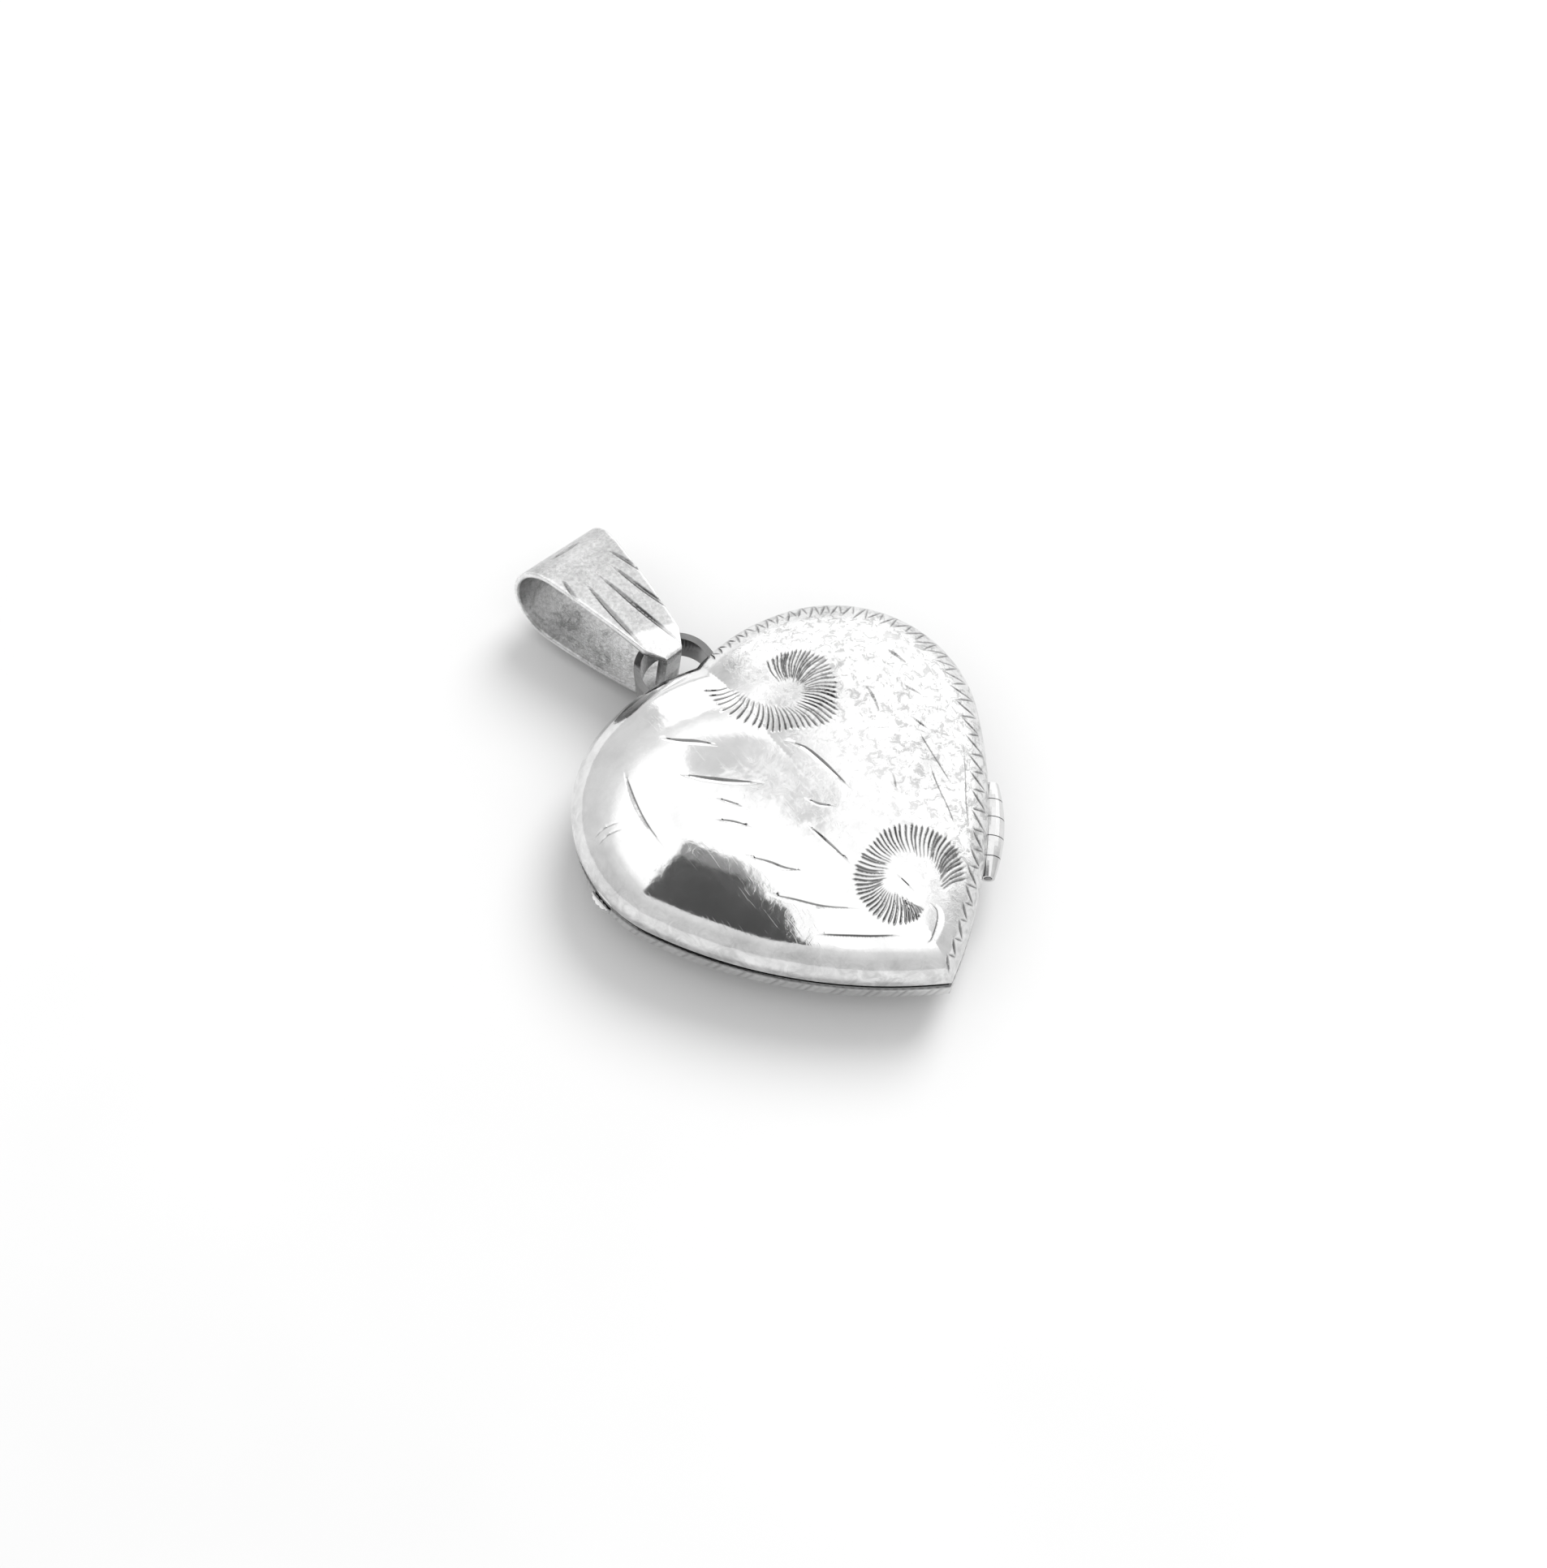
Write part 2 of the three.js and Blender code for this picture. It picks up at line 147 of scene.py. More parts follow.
def rim_z(half, xy, inset):
    """Height of the half's rim edge over xy, lifted clear of the barrel and of the nail nick."""
    if half["sign"] > 0:
        rel = xy - np.array([-LOBE[0], LOBE[1]])
        away = rel @ np.array([-math.sin(NICK_A), math.cos(NICK_A)])
        nick = NICK_RISE * np.clip(1 - (away / NICK_HALF) ** 4, 0, 1) * (xy[:, 0] < 0)
        nick = nick * (inset <= NICK_REACH)
        return np.maximum(half["rim"] + nick, HINGE_Z + hinge_room(xy))
    return np.minimum(half["rim"], HINGE_Z - hinge_room(xy))


# ------------------------------------------------------------------ engraving

# The dark of a cut is painted shade: colour darkened on its steep wall and, by dark, over all of it.
GUARD = 0.035  # the dark of a cut ends at a row of points this far outside its edge


class Cuts:
    """Graver strokes. Each is a polyline with a half width and a depth at each of its points, a valley that
    lies at lean (from -1 to 1) between its two edges, and dark, from 0 to 1, how much painted shade covers
    all of it."""

    def __init__(self):
        self.strokes = []

    def add(self, points, width, depth, lean, shape="leaf", steps=9, dark=0.0):
        """Adds a leaf, pointed at both ends, or a tick, blunt where it starts and drawn out to a point."""
        p = smooth_line(np.array(points, float), steps)
        s = np.linspace(0, 1, len(p))
        if shape == "leaf":
            f = np.sin(np.pi * s) ** 0.75
        else:
            f = np.minimum(1, (s / 0.07) ** 0.5) * (1 - s) ** 0.45
        f = np.maximum(f, 0.03)
        fade = f**1.8 if shape == "leaf" else f
        self.strokes.append((p, width * f, depth * fade, lean, dark))

    def field(self, xy):
        """(depth, cover, shade) at each point: how deep the cuts go there, 1 where a cut covers it, and how
        much painted shade it gets, 1 on the steep wall of a cut."""
        depth, cover, shade = np.zeros(len(xy)), np.zeros(len(xy)), np.zeros(len(xy))
        for p, w, h, lean, dark in self.strokes:
            reach = w.max() + 1e-6
            near = np.flatnonzero(
                (xy[:, 0] > p[:, 0].min() - reach) & (xy[:, 0] < p[:, 0].max() + reach)
                & (xy[:, 1] > p[:, 1].min() - reach) & (xy[:, 1] < p[:, 1].max() + reach)
            )
            if not len(near):
                continue
            q = xy[near]
            a, b = p[:-1], p[1:]
            ab = b - a
            length = np.maximum(np.hypot(*ab.T), 1e-9)
            t = np.clip(((q[:, None] - a) * ab).sum(2) / length**2, 0, 1)
            rel = q[:, None] - (a + t[..., None] * ab)
            dist = np.hypot(rel[..., 0], rel[..., 1])
            k = dist.argmin(1)
            rows = np.arange(len(q))
            tk, rk = t[rows, k], rel[rows, k]
            side = np.sign(ab[k, 0] * rk[:, 1] - ab[k, 1] * rk[:, 0])
            width = w[k] + (w[k + 1] - w[k]) * tk
            deep = h[k] + (h[k + 1] - h[k]) * tk
            at = side * dist[rows, k] / np.maximum(width, 1e-9)
            one = np.where(at < lean, (at + 1) / (1 + lean), (1 - at) / (1 - lean))
            one = np.clip(one, 0, 1)
            depth[near] = np.maximum(depth[near], deep * one)
            cover[near] = np.maximum(cover[near], one > 0)
            # Painted shade: the steep wall is darkened in the colour, and the whole cut as far as dark
            # says.
            end = 1 if lean >= 0 else -1
            wall = 1 - np.abs(at - (lean + end) / 2) / (0.5 * abs(end - lean) + 0.12)
            wall = np.maximum(np.clip(2.0 * wall, 0, 1), dark * np.clip(3.0 * (1.12 - np.abs(at)), 0, 1))
            shade[near] = np.maximum(shade[near], wall * np.minimum(1, deep / (0.4 * h.max())))
        return depth, cover, shade

    def guides(self, step):
        """Points along each valley, each edge and just outside it, for the mesh to have edges there."""
        found = []
        for p, w, _, lean, _ in self.strokes:
            seg = np.hypot(*np.diff(p, axis=0).T)
            s = np.concatenate([[0], np.cumsum(seg)])
            m = max(3, int(s[-1] / step))
            at = np.linspace(0, s[-1], m + 1)
            c = np.stack([np.interp(at, s, p[:, 0]), np.interp(at, s, p[:, 1])], 1)
            width = np.interp(at, s, w)
            d = np.gradient(c, axis=0)
            d /= np.maximum(np.hypot(*d.T), 1e-9)[:, None]
            n = np.stack([-d[:, 1], d[:, 0]], 1)
            found.append(c + n * (lean * width)[:, None])
            for out in (0, GUARD):
                found.append(c + n * (width[:, None] + out))
                found.append(c - n * (width[:, None] + out))
        return found


def smooth_line(p, steps):
    """Catmull-Rom curve through the points."""
    if len(p) == 2:
        return p[0] + (p[1] - p[0]) * np.linspace(0, 1, steps)[:, None]
    ends = np.concatenate([[2 * p[0] - p[1]], p, [2 * p[-1] - p[-2]]])
    out = []
    per = max(2, steps // (len(p) - 1) + 1)
    for i in range(len(p) - 1):
        a, b, c, d = ends[i : i + 4]
        for t in np.linspace(0, 1, per, endpoint=False):
            out.append(0.5 * (2 * b + (c - a) * t + (2 * a - 5 * b + 4 * c - d) * t**2
                              + (3 * b - a - 3 * c + d) * t**3))
    return np.array(out + [p[-1]])


TICK_WIDTH, TICK_DEPTH = 0.067, 0.05


def fan(cuts, outer, inner, count, curl):
    """Ticks from an outer line to an inner line, each a little curved."""
    outer = smooth_line(np.array(outer, float), 12 * len(outer))
    inner = smooth_line(np.array(inner, float), 12 * len(inner))
    t = np.linspace(0, 1, count)
    t = np.clip(t + rng.normal(0, 0.07 / count, count), 0, 1)

    def pick(line):
        return np.stack([np.interp(t, np.linspace(0, 1, len(line)), line[:, k]) for k in (0, 1)], 1)

    for a, b in zip(pick(outer), pick(inner)):
        along = b - a
        a = a - along * rng.uniform(-0.03, 0.04)
        b = b - along * rng.uniform(-0.04, 0.08)
        mid = (a + b) / 2 + curl * np.array([-along[1], along[0]]) * rng.uniform(0.7, 1.3)
        width = TICK_WIDTH * rng.uniform(0.85, 1.15)
        depth = TICK_DEPTH * rng.uniform(0.85, 1.1)
        cuts.add([a, mid, b], width, depth, lean=0.3, shape="tick", steps=8, dark=0.95)


RIM_T = outline(0, (400, 400, 80), (4, 4, 1))[:881]  # right half, tip to notch
RIM_S = np.concatenate([[0], np.cumsum(np.hypot(*np.diff(RIM_T, axis=0).T))])
RIM_LENGTH = RIM_S[-1]
RIM_N = np.gradient(RIM_T, axis=0)
RIM_N /= np.hypot(*RIM_N.T)[:, None]
RIM_N = np.stack([-RIM_N[:, 1], RIM_N[:, 0]], 1)  # inwards
RIM_MARGIN = 0.16  # plain metal left between the border and the rim


def rim_point(s, d, mirror):
    """A point d inside the rim, s mm along it from the notch."""
    at = RIM_LENGTH - s
    p = np.array([np.interp(at, RIM_S, RIM_T[:, k]) for k in (0, 1)])
    n = np.array([np.interp(at, RIM_S, RIM_N[:, k]) for k in (0, 1)])
    p = p + d * n / np.hypot(*n)
    return p * [mirror, 1]


def border(cuts, inner_at, inner_d, start, stop, mirror=1):
    """Zigzag border along the rim from start to stop: a stroke slanting out to the rim, then one almost
    straight back in. inner_d is how far in they reach at the shares inner_at of the rim."""
    s = start
    while s < stop:
        part = s / RIM_LENGTH
        pitch = np.interp(part, [0, 0.2, 0.4, 0.6, 1], [0.5, 0.62, 0.85, 1.0, 0.9])
        pitch *= rng.uniform(0.9, 1.1)
        d = np.interp(part, inner_at, inner_d) * rng.uniform(0.9, 1.08)
        near = RIM_MARGIN * rng.uniform(0.8, 1.5)
        lead = 0.78 * pitch
        a, b = rim_point(s, d, mirror), rim_point(s + lead, near, mirror)
        mid = (a + b) / 2 + (rim_point(s + lead / 2, d, mirror) - (a + b) / 2) * 0.12
        c = rim_point(s + pitch * 0.98, d * rng.uniform(0.8, 0.95), mirror)
        cuts.add([a, mid, b], 0.06, 0.04, lean=-0.2 * mirror, steps=8, dark=0.9)
        if s + pitch < stop:
            cuts.add([b, c], 0.05, 0.03, lean=0.2 * mirror, steps=6, dark=0.9)
        s += pitch


# Lines of points are (x, y) in mm on the front, read from the photo.
front_cuts = Cuts()
fan(front_cuts,
    [(-0.95, 6.45), (-1.01, 5.36), (-0.89, 4.23), (-0.4, 3.22), (0.14, 2.52), (0.87, 2.11),
     (1.52, 1.71), (2.27, 1.41), (2.96, 1.47), (3.51, 2.11), (3.96, 2.76), (4.24, 3.47), (4.38, 4.18),
     (4.23, 4.78), (3.86, 5.31), (3.44, 5.64), (2.97, 5.83), (2.24, 5.88)],
    [(0.16, 5.75), (0.26, 5.17), (0.38, 4.76), (0.65, 4.14), (0.9, 3.72), (1.19, 3.36), (1.48, 3.16),
     (1.8, 3.13), (2.13, 3.3), (2.37, 3.51), (2.5, 3.6), (2.52, 3.75), (2.5, 3.88), (2.45, 4.0),
     (2.38, 4.1), (2.28, 4.2), (2.15, 4.3), (1.95, 4.5)],
    count=48, curl=-0.07)
fan(front_cuts,
    [(0.4, -8.15), (-0.04, -8.35), (-0.48, -8.29), (-0.98, -8.01), (-1.39, -7.49), (-1.62, -6.91),
     (-1.65, -6.33), (-1.58, -5.8), (-1.3, -5.27), (-0.92, -4.89), (-0.49, -4.66), (0.1, -4.48),
     (0.75, -4.32), (1.36, -4.26), (2.02, -4.44), (2.59, -4.77), (3.06, -5.24), (3.33, -5.71),
     (3.53, -6.24), (3.53, -6.76), (3.35, -7.25), (3.06, -7.79)],
    [(0.23, -7.82), (0.11, -7.53), (-0.0, -7.2), (-0.12, -6.97), (-0.26, -6.77), (-0.39, -6.6),
     (-0.39, -6.41), (-0.27, -6.26), (-0.1, -6.14), (0.09, -5.98), (0.31, -5.79), (0.52, -5.64),
     (0.78, -5.56), (1.08, -5.65), (1.37, -5.79), (1.65, -6.03), (1.9, -6.31), (2.0, -6.62),
     (1.97, -6.96), (1.88, -7.25), (1.75, -7.49), (1.63, -7.78)],
    count=54, curl=-0.06)
LEAF_SHARE = 0.7  # a leaf's half width, as a share of the one listed
for points, width, depth, lean in (
    ([(-4.08, 5.52), (-3.57, 4.81), (-2.88, 4.12), (-2.24, 3.36)], 0.2, 0.07, 0.6),
    ([(-4.52, 3.31), (-3.75, 2.41), (-2.79, 1.49), (-1.75, 0.62)], 0.2, 0.085, 0.6),
    ([(0.28, 1.81), (0.74, 1.01), (0.93, 0.03), (1.04, -0.96), (1.18, -2.01)], 0.2, 0.08, 0.6),
    ([(-6.2, 5.17), (-6.46, 4.51), (-6.74, 3.71), (-6.95, 2.81), (-7.03, 1.92), (-7.0, 0.84)],
     0.17, 0.07, 0.5),
    ([(-4.56, 0.55), (-3.96, -0.06), (-3.42, -0.8)], 0.11, 0.05, 0.5),
    ([(-1.45, -2.06), (-1.25, -3.21), (-1.01, -4.75)], 0.13, 0.07, 0.5),
    ([(-4.49, -1.6), (-3.85, -2.46), (-3.43, -3.14), (-2.79, -3.78)], 0.15, 0.07, 0.5),
    ([(-4.6, -3.63), (-3.95, -4.46), (-3.05, -5.54), (-1.7, -6.62)], 0.16, 0.07, 0.5),
    ([(-4.0, -6.16), (-3.25, -7.0), (-2.25, -7.8), (-0.96, -8.51)], 0.36, 0.1, 0.75),
    ([(-8.97, 3.52), (-8.42, 3.5), (-7.77, 3.21)], 0.05, 0.02, 0.2),
    ([(-9.05, 3.13), (-8.47, 3.12), (-7.84, 2.85)], 0.05, 0.02, 0.2),
    ([(-3.88, 1.32), (-3.54, 0.82), (-3.14, 0.23)], 0.09, 0.04, 0.4),
    ([(-0.71, -1.07), (-0.42, -1.64), (0.14, -2.19)], 0.12, 0.05, 0.4),
    ([(4.93, 2.03), (4.84, 1.38), (4.62, 0.55)], 0.15, 0.06, 0.2),
    ([(7.04, 3.15), (7.22, 2.62), (7.35, 1.91)], 0.12, 0.05, 0.2),
    ([(6.4, 1.18), (6.88, 0.23)], 0.08, 0.04, 0.2),
    ([(5.67, -0.3), (6.01, -1.36)], 0.09, 0.04, 0.2),
    ([(5.57, -1.18), (5.62, -2.01), (5.53, -2.89), (5.25, -4.1)], 0.32, 0.09, -0.7),
    ([(4.96, -2.76), (4.79, -3.72), (4.55, -4.77), (4.11, -5.78)], 0.28, 0.085, -0.7),
    ([(7.05, -2.67), (6.13, -4.06), (5.4, -5.02), (4.65, -6.1)], 0.16, 0.07, -0.6),
    ([(3.21, -2.22), (2.82, -3.01)], 0.1, 0.04, 0.2),
    ([(0.34, -6.17), (0.56, -7.28)], 0.05, 0.03, 0.0),
    ([(0.8, -7.95), (1.04, -8.4), (0.79, -8.86), (0.04, -9.36), (-0.4, -9.34)], 0.24, 0.08, -0.6),
):
    front_cuts.add(points, width * LEAF_SHARE, depth, lean)
border(front_cuts, [0, 0.1, 0.25, 0.4, 0.55, 0.65, 0.8, 1], [0.9, 1.2, 1.5, 1.4, 1.1, 0.92, 0.8, 0.5],
       0.5, RIM_LENGTH - 0.5)

back_cuts = Cuts()
for mirror in (1, -1):
    border(back_cuts, [0, 0.25, 0.6, 1], [0.8, 1.0, 0.95, 0.6], 0.6, RIM_LENGTH - 0.5, mirror)


# ------------------------------------------------------------------ dome meshes

def thinned(groups):
    """Points of every group in order, each kept if it is the group's spacing or more from those kept."""
    cell = 0.05
    grid, kept = {}, []
    for points, spacing in groups:
        span = int(math.ceil(spacing / cell))
        for x, y in points.tolist():
            i, j = int(x // cell), int(y // cell)
            near = (kept[k] for u in range(i - span, i + span + 1) for v in range(j - span, j + span + 1)
                    for k in grid.get((u, v), ()))
            if all((a - x) ** 2 + (b - y) ** 2 >= spacing * spacing for a, b in near):
                grid.setdefault((i, j), []).append(len(kept))
                kept.append((x, y))
    return np.array(kept)


def hex_grid(step):
    """A honeycomb of points over the whole heart."""
    rows = np.arange(-11.5, 9.5, step * math.sqrt(3) / 2)
    x = np.arange(-10.5, 10.5, step)
    return np.concatenate([np.stack([x + (step / 2 if i % 2 else 0), np.full_like(x, y)], 1)
                           for i, y in enumerate(rows)])


def crown(loop, cuts, fine, coarse):
    """Triangulates the dome inside loop. Returns xy of the inner points and triangles over loop + inner."""
    guides = np.concatenate(cuts.guides(fine * 0.8))
    engraved = hex_grid(fine)
    engraved = engraved[cuts.field(engraved)[1] > 0]
    axis = np.stack([np.zeros(400), np.linspace(-10.7, 8.4, 400)], 1)

    def within(p):
        return p[inset_at(p[:, 0], p[:, 1]) > BAND + 0.02]

    points = thinned([(loop, 1e-4), (within(axis), 0.04), (within(guides), fine * 0.55),
                      (within(engraved), fine * 0.62), (within(hex_grid(coarse)), coarse * 0.5)])
    count = len(loop)
    assert np.allclose(points[:count], loop)
    verts, _, tris, origin, _, _ = delaunay_2d_cdt(
        [Vector(p) for p in points], [], [list(range(count))], 1, 1e-6)
    back = {new: old[0] for new, old in enumerate(origin) if old}
    assert len(back) == len(verts)
    tris = np.array([[back[i] for i in t] for t in tris])
    return points[count:], tris


RIM_INSETS = (0.32, 0.26, 0.2, 0.15, 0.1)  # rows over the rim's edge, outwards from the metal's inner face
WALL_LEVELS = (0.03, 0.09, 0.17, 0.24, 0.32, 0.4, 0.48, 0.56, 0.64, 0.72, 0.8, 0.88, 0.95)
FOOT_INSETS = (0.05, 0.017, 0.003)  # the wall's first rows stand in from the outline: a rounded edge
# Painted shade on the rows round the rim, where the halves meet, darkening the seam.
SEAM_PAINTED_SHADE = ((2, 0.5), (3, 0.9), (4, 0.95), (5, 0.95), (6, 0.7))  # (row of the shell, how dark)
INNER_RINGS = (1, 0.994, 0.982, 0.965, 0.94, 0.91, 0.87, 0.82, 0.76, 0.69, 0.61, 0.52, 0.42, 0.32, 0.22,
               0.12, 0.05)  # sizes of the inner face's rings
MILLED_PITCH, MILLED_SLANT = 5.0, 8.0  # of the strokes on the wall, in points along the rim


def dome_shell(half, cuts, right, left, fine, coarse):
    """(vertices, faces, marks) of a half, in mm: engraved outside, plain inside. right and left are the
    point counts for outline; marks are what the half's material reads at each vertex."""
    sign = half["sign"]
    loop0, loop1 = outline(0, right, left), outline(BAND, right, left)
    count = len(loop0)
    verts, faces = [], []

    def add_row(xy, z):
        first = sum(map(len, verts))
        verts.append(np.column_stack([xy, z]))
        return np.arange(first, first + len(xy))

    def add_face(*ids):
        faces.append(ids[::sign])

    def quads(a, b):
        for i in range(len(a)):
            j = (i + 1) % len(a)
            add_face(a[i], a[j], b[j], b[i])

    def at(d):
        """The outline moved in by d, one number or one for each point."""
        return loop0 + (loop1 - loop0) * np.reshape(d / BAND, (-1, 1))

    # Rim and wall.
    rows, grooves = [], {}
    for d in RIM_INSETS:
        rows.append(add_row(at(d), rim_z(half, at(d), d)))
    low, high = rim_z(half, loop0, 0), dome_z(half, loop1[:, 0], loop1[:, 1])
    top = half["rim"] + sign * half["wall"]
    for k, level in enumerate(WALL_LEVELS):
        z = low + (high - low) * level
        d = unrise(sign * (z - top) / half["rise"])
        d = np.maximum(d, FOOT_INSETS[k] if k < len(FOOT_INSETS) else 0)
        if half["milled"] and k > 0:
            phase = (np.arange(count) + MILLED_SLANT * level) / MILLED_PITCH
            stroke = np.round(phase)
            groove = np.clip(1 - 3.2 * np.abs(phase - stroke), 0, 1) * (0.6 + 0.4 * np.sin(1.7 * stroke))
            d = d + half["milled"] * groove * min(1, 2.5 * (1 - level))
            grooves[len(rows)] = groove
        rows.append(add_row(at(d), z))
    rows.append(add_row(loop1, high))
    for a, b in zip(rows, rows[1:]):
        quads(a, b)

    # Crown.
    inner_xy, tris = crown(loop1, cuts, fine, coarse)
    inner = add_row(inner_xy, dome_z(half, inner_xy[:, 0], inner_xy[:, 1]))
    engraved = np.concatenate([rows[-1], inner])
    for tri in engraved[tris].tolist():
        add_face(*tri)

    # Inner face: a quarter of the points, towards the crown in rings.
    base = outline(SHEET, [c // 4 for c in right], [c // 4 for c in left])
    few = len(base)
    assert count == 4 * few, (count, few)

    def inner_z(xy):
        level = rise(inset_at(xy[:, 0], xy[:, 1]) - SHEET, DOME_REACH - SHEET)
        return top + sign * (half["rise"] - SHEET) * level

    rings = [add_row(base, rim_z(half, base, SHEET))]
    for scale in INNER_RINGS:
        rings.append(add_row(base * scale, inner_z(base * scale)))
    middle = add_row(np.zeros((1, 2)), inner_z(np.zeros((1, 2))))[0]
    for a, b in zip(rings, rings[1:]):
        quads(b, a)
    for i in range(few):
        add_face(rings[-1][(i + 1) % few], rings[-1][i], middle)
    for i in range(few):
        a, b = rings[0][i], rings[0][(i + 1) % few]
        out = [rows[0][(4 * i + k) % count] for k in range(5)]
        add_face(a, out[1], out[0])
        add_face(a, out[2], out[1])
        add_face(a, b, out[2])
        add_face(b, out[3], out[2])
        add_face(b, out[4], out[3])

    verts = np.concatenate(verts)
    xy = verts[engraved, :2].copy()
    depth, cover, shade = cuts.field(xy)
    depth = np.where(np.arange(len(xy)) < count, 0, depth)
    verts[engraved] -= dome_normal(half, xy[:, 0], xy[:, 1]) * depth[:, None]
    if half["flat"] is not None:
        verts[:, 2] = np.maximum(verts[:, 2], half["flat"])
    marks = {key: np.zeros(len(verts)) for key in ("cut", "shade", "hidden")}
    marks["cut"][engraved], marks["shade"][engraved] = cover, shade
    # Painted shade in the milled strokes on the back's wall.
    for row, groove in grooves.items():
        marks["shade"][rows[row]] = 0.6 * groove
    # Painted shade along the seam between the halves.
    for row, seam_shade in SEAM_PAINTED_SHADE:
        marks["shade"][rows[row]] = np.maximum(marks["shade"][rows[row]], seam_shade)
    marks["hidden"][rings[0][0]:] = 1
    return verts, faces, marks


SHARP_ANGLE = math.radians(32)


def make(name, shape, body, stands_for, material):
    """The visible piece of a shape (vertices in mm, faces, marks) that stands for a CAD node."""
    verts, faces, marks = shape
    mesh = bpy.data.meshes.new(name)
    mesh.from_pydata((np.asarray(verts) * MM).tolist(), [], [list(map(int, f)) for f in faces])
    mesh.validate()
    mesh.shade_smooth()
    mesh.set_sharp_from_angle(angle=SHARP_ANGLE)
    for key, data in marks.items():
        layer = mesh.attributes.new(key, "FLOAT", "POINT")
        layer.data.foreach_set("value", np.asarray(data, np.float32))
    obj = bpy.data.objects.new(name, mesh)
    bpy.context.scene.collection.objects.link(obj)
    mesh.materials.append(material)
    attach(obj, body)
    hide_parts(stands_for)


# ------------------------------------------------------------------ materials

class Nodes:
    """Short ways to write a material's nodes. An input is a number or another node's output."""

    def __init__(self, name):
        self.material = bpy.data.materials.new(name)
        self.material.use_nodes = True
        self.tree = self.material.node_tree
        self.shader = self.tree.nodes["Principled BSDF"]

    def add(self, kind, inputs=None, **settings):
        node = self.tree.nodes.new("ShaderNode" + kind)
        for key, value in settings.items():
            setattr(node, key, value)
        for key, value in (inputs or {}).items():
            self.set(node.inputs[key], value)
        return node

    def set(self, socket, value):
        if isinstance(value, bpy.types.NodeSocket):
            self.tree.links.new(value, socket)
        else:
            socket.default_value = value

    def noise(self, coords, scale, detail=3.0, rough=0.55, distortion=0.0):
        node = self.add("TexNoise", {"Vector": coords, "Scale": scale, "Detail": detail, "Roughness": rough,
                                     "Distortion": distortion})
        return node.outputs["Fac"]

    def remap(self, value, low, high, to_low, to_high):
        node = self.add("MapRange", {"Value": value, "From Min": low, "From Max": high, "To Min": to_low,
                                     "To Max": to_high})
        return node.outputs["Result"]

    def maths(self, how, a, b=0.0):
        return self.add("Math", {0: a, 1: b}, operation=how).outputs[0]

    def times(self, a, b):
        return self.maths("MULTIPLY", a, b)

    def plus(self, a, b):
        return self.maths("ADD", a, b)

    def rest(self, a):
        """1 - a."""
        return self.maths("SUBTRACT", 1.0, a)

    def mark(self, key):
        """A value stored at the mesh's vertices."""
        return self.add("Attribute", attribute_name=key).outputs["Fac"]

    def bump(self, height, distance, below=None):
        inputs = {"Height": height, "Distance": distance, "Strength": 1.0}
        if below is not None:
            inputs["Normal"] = below
        return self.add("Bump", inputs).outputs["Normal"]


def set_stops(ramp, stops):
    """Gives a colour ramp its (position, grey) stops."""
    band = ramp.color_ramp
    while len(band.elements) < len(stops):
        band.elements.new(0.5)
    for element, (at, grey) in zip(band.elements, stops):
        element.position, element.color = at, (grey, grey, grey, 1)


MICRON = 1e-6
SATIN_FROM, SATIN_TO = 0.0008, 0.0052  # where along x, in metres, the front turns from polished to satin
# Painted shade: below these heights the front's flank is darkened in blotches, for the shadowed floor it
# reflects.
FLANK_FROM, FLANK_TO = 0.0045, 0.0058  # heights between which its mottled flank fades out


